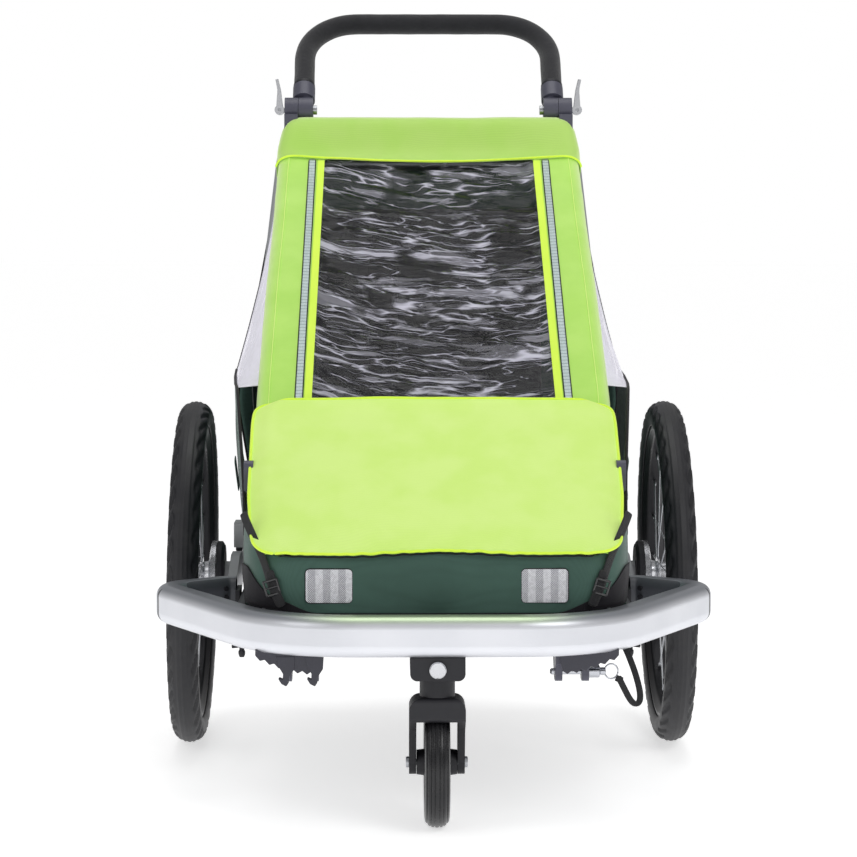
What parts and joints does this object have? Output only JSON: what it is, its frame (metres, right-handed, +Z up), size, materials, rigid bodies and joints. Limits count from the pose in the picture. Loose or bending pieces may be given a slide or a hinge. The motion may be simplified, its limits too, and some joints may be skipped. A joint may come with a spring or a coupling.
{
  "type": "child bicycle trailer",
  "caption": "Covered child bicycle trailer with sprung spoked wheels, wrap-round front bumper, front caster, folding hoop frame, tilting push handle and rain cover.",
  "frame": {"origin": "on the ground, under the middle of the object's box", "axes": "+Z up, -Y the way it drives, +X the trailer's own left side"},
  "size_m": [0.7562, 1.0661, 1.088],
  "materials": {
    "silver_bumper": "satin, clear anodised",
    "frame_metal": "fine matt powder coat",
    "hoop_metal": "brushed and anodised",
    "bracket_grey": "semi-matt powder coat",
    "steel": "zinc plated",
    "chrome": "polished",
    "black_plastic": "fine moulded grain",
    "slate_plastic": "fine moulded grain",
    "black_rim": "black anodised",
    "hub_silver": "polished and anodised",
    "tyre_rubber": "matt",
    "caster_rubber": "satin",
    "elastomer": "matt",
    "grip_foam": "closed-cell foam",
    "cushion_fabric": "plain woven, padded",
    "webbing": "woven webbing",
    "green_fabric": "coated plain weave",
    "lime_fabric": "coated ripstop",
    "clear_film": "glossy clear film",
    "clear_lens": "prismatic clear plastic"
  },
  "bodies": {
    "rear_hoop": {"rear_hoop": "hoop_metal", "handle_saddles": "slate_plastic", "clamp_bolts": "steel"},
    "front_hoop": {"front_hoop": "hoop_metal"},
    "handle": {"handle_knuckles": "slate_plastic", "handle_tube": "hoop_metal", "handle_grip": "grip_foam"},
    "caster_fork": {"caster_fork": "black_plastic", "caster_axle": "steel"},
    "caster_wheel": {"caster_rim": "black_plastic", "caster_tyre": "caster_rubber"},
    "caster_release": {"caster_release_button": "hub_silver"},
    "hitch_pin": {"hitch_pin": "chrome"},
    "brake_pedal": {"brake_pedal": "black_plastic"},
    "buckle_button": {"buckle_button": "slate_plastic"},
    "left_arm": {"left_suspension_arm": "bracket_grey", "left_brake_housing": "black_plastic", "left_wheel_axle": "hub_silver"},
    "left_wheel": {"left_wheel_hub": "hub_silver", "left_wheel_rim": "black_rim", "left_wheel_spokes": "steel", "left_wheel_tyre": "tyre_rubber"},
    "left_brake_pin": {"left_brake_pin": "steel"},
    "left_axle_button": {"left_axle_button": "black_plastic"},
    "left_clamp_lever": {"left_clamp_lever": "hub_silver"},
    "left_lock_lever": {"left_lock_lever": "slate_plastic"},
    "right_arm": {"right_suspension_arm": "bracket_grey", "right_brake_housing": "black_plastic", "right_wheel_axle": "hub_silver"},
    "right_wheel": {"right_wheel_hub": "hub_silver", "right_wheel_rim": "black_rim", "right_wheel_spokes": "steel", "right_wheel_tyre": "tyre_rubber"},
    "right_brake_pin": {"right_brake_pin": "steel"},
    "right_axle_button": {"right_axle_button": "black_plastic"},
    "right_clamp_lever": {"right_clamp_lever": "hub_silver"},
    "right_lock_lever": {"right_lock_lever": "slate_plastic"},
    "root": {"floor_frame": "frame_metal", "floor_tray": "black_plastic", "front_bumper": "silver_bumper", "bumper_mounts": "black_plastic", "bumper_rivets": "black_plastic", "hoop_brackets": "bracket_grey", "hoop_bolts": "steel", "hitch_receivers": "slate_plastic", "caster_dock": "black_plastic", "suspension_towers": "bracket_grey", "suspension_pads": "elastomer", "arm_pivot_bolts": "steel", "seat_cushion": "cushion_fabric", "back_cushion": "cushion_fabric", "harness_straps": "webbing", "harness_buckle": "black_plastic", "side_panels": "green_fabric", "side_windows": "clear_film", "front_panel": "green_fabric", "front_reflectors": "clear_lens", "rear_panel": "green_fabric", "rain_cover": "lime_fabric", "cover_window": "clear_film"}
  },
  "joints": [
    {"name": "frame_fold", "type": "hinge", "parent": "root", "child": "rear_hoop", "pos_m": [0, 0.417, 0.285], "axis": [1, 0, 0], "range_deg": [0, 72], "deforming": ["rain_cover", "cover_window", "side_panels", "side_windows", "rear_panel", "back_cushion", "harness_straps"]},
    {"name": "front_hoop_fold", "type": "hinge", "parent": "root", "child": "front_hoop", "pos_m": [0, -0.4067, 0.3166], "axis": [1, 0, 0], "range_deg": [-33, 0]},
    {"name": "handle_tilt", "type": "hinge", "parent": "rear_hoop", "child": "handle", "pos_m": [0, 0.38, 0.932], "axis": [1, 0, 0], "range_deg": [-60, 60]},
    {"name": "caster_swivel", "type": "hinge", "parent": "root", "child": "caster_fork", "pos_m": [0, -0.478, 0.2], "axis": [0, 0, 1], "continuous": true},
    {"name": "caster_wheel_spin", "type": "hinge", "parent": "caster_fork", "child": "caster_wheel", "pos_m": [0, -0.438, 0.082], "axis": [1, 0, 0], "continuous": true},
    {"name": "caster_release_press", "type": "slide", "parent": "root", "child": "caster_release", "axis": [0, 1, 0], "range_m": [0, 0.004]},
    {"name": "hitch_pin_pull", "type": "slide", "parent": "root", "child": "hitch_pin", "axis": [1, 0, 0], "range_m": [0, 0.06]},
    {"name": "brake_pedal_press", "type": "hinge", "parent": "root", "child": "brake_pedal", "pos_m": [0, 0.445, 0.25], "axis": [-1, 0, 0], "range_deg": [0, 20]},
    {"name": "buckle_press", "type": "slide", "parent": "root", "child": "buckle_button", "axis": [0, 1, 0], "range_m": [0, 0.003]},
    {"name": "left_suspension", "type": "hinge", "parent": "root", "child": "left_arm", "pos_m": [0.2845, 0.017, 0.225], "axis": [1, 0, 0], "range_deg": [-1, 4], "stiffness_Nm_per_rad": 600, "deforming": ["suspension_pads"]},
    {"name": "left_wheel_spin", "type": "hinge", "parent": "left_arm", "child": "left_wheel", "pos_m": [0.347, 0.167, 0.24997], "axis": [0.9998, 0, 0.0175], "continuous": true},
    {"name": "left_brake_pin_slide", "type": "slide", "parent": "left_arm", "child": "left_brake_pin", "axis": [0.9998, 0, 0.0175], "range_m": [0, 0.0061]},
    {"name": "left_axle_button_press", "type": "slide", "parent": "left_arm", "child": "left_axle_button", "axis": [-0.9998, 0, -0.0175], "range_m": [0, 0.003]},
    {"name": "left_clamp_lever_turn", "type": "hinge", "parent": "rear_hoop", "child": "left_clamp_lever", "pos_m": [0.227, 0.38, 0.932], "axis": [0, 1, 0], "range_deg": [0, 90]},
    {"name": "left_lock_lever_turn", "type": "hinge", "parent": "front_hoop", "child": "left_lock_lever", "pos_m": [0.243, -0.28356, 0.40399], "axis": [1, 0, 0], "range_deg": [0, 50]},
    {"name": "right_suspension", "type": "hinge", "parent": "root", "child": "right_arm", "pos_m": [-0.2845, 0.017, 0.225], "axis": [1, 0, 0], "range_deg": [-1, 4], "stiffness_Nm_per_rad": 600, "deforming": ["suspension_pads"]},
    {"name": "right_wheel_spin", "type": "hinge", "parent": "right_arm", "child": "right_wheel", "pos_m": [-0.347, 0.167, 0.24997], "axis": [-0.9998, 0, 0.0175], "continuous": true},
    {"name": "right_brake_pin_slide", "type": "slide", "parent": "right_arm", "child": "right_brake_pin", "axis": [-0.9998, 0, 0.0175], "range_m": [0, 0.0061]},
    {"name": "right_axle_button_press", "type": "slide", "parent": "right_arm", "child": "right_axle_button", "axis": [0.9998, 0, -0.0175], "range_m": [0, 0.003]},
    {"name": "right_clamp_lever_turn", "type": "hinge", "parent": "rear_hoop", "child": "right_clamp_lever", "pos_m": [-0.227, 0.38, 0.932], "axis": [0, -1, 0], "range_deg": [0, 90]},
    {"name": "right_lock_lever_turn", "type": "hinge", "parent": "front_hoop", "child": "right_lock_lever", "pos_m": [-0.243, -0.28356, 0.40399], "axis": [1, 0, 0], "range_deg": [0, 50]}
  ],
  "couplings": [
    {"joint": "front_hoop_fold", "follows": "frame_fold", "ratio": -0.444},
    {"joint": "left_brake_pin_slide", "follows": "brake_pedal_press", "m_per_rad": 0.0172},
    {"joint": "right_brake_pin_slide", "follows": "brake_pedal_press", "m_per_rad": 0.0172}
  ]
}
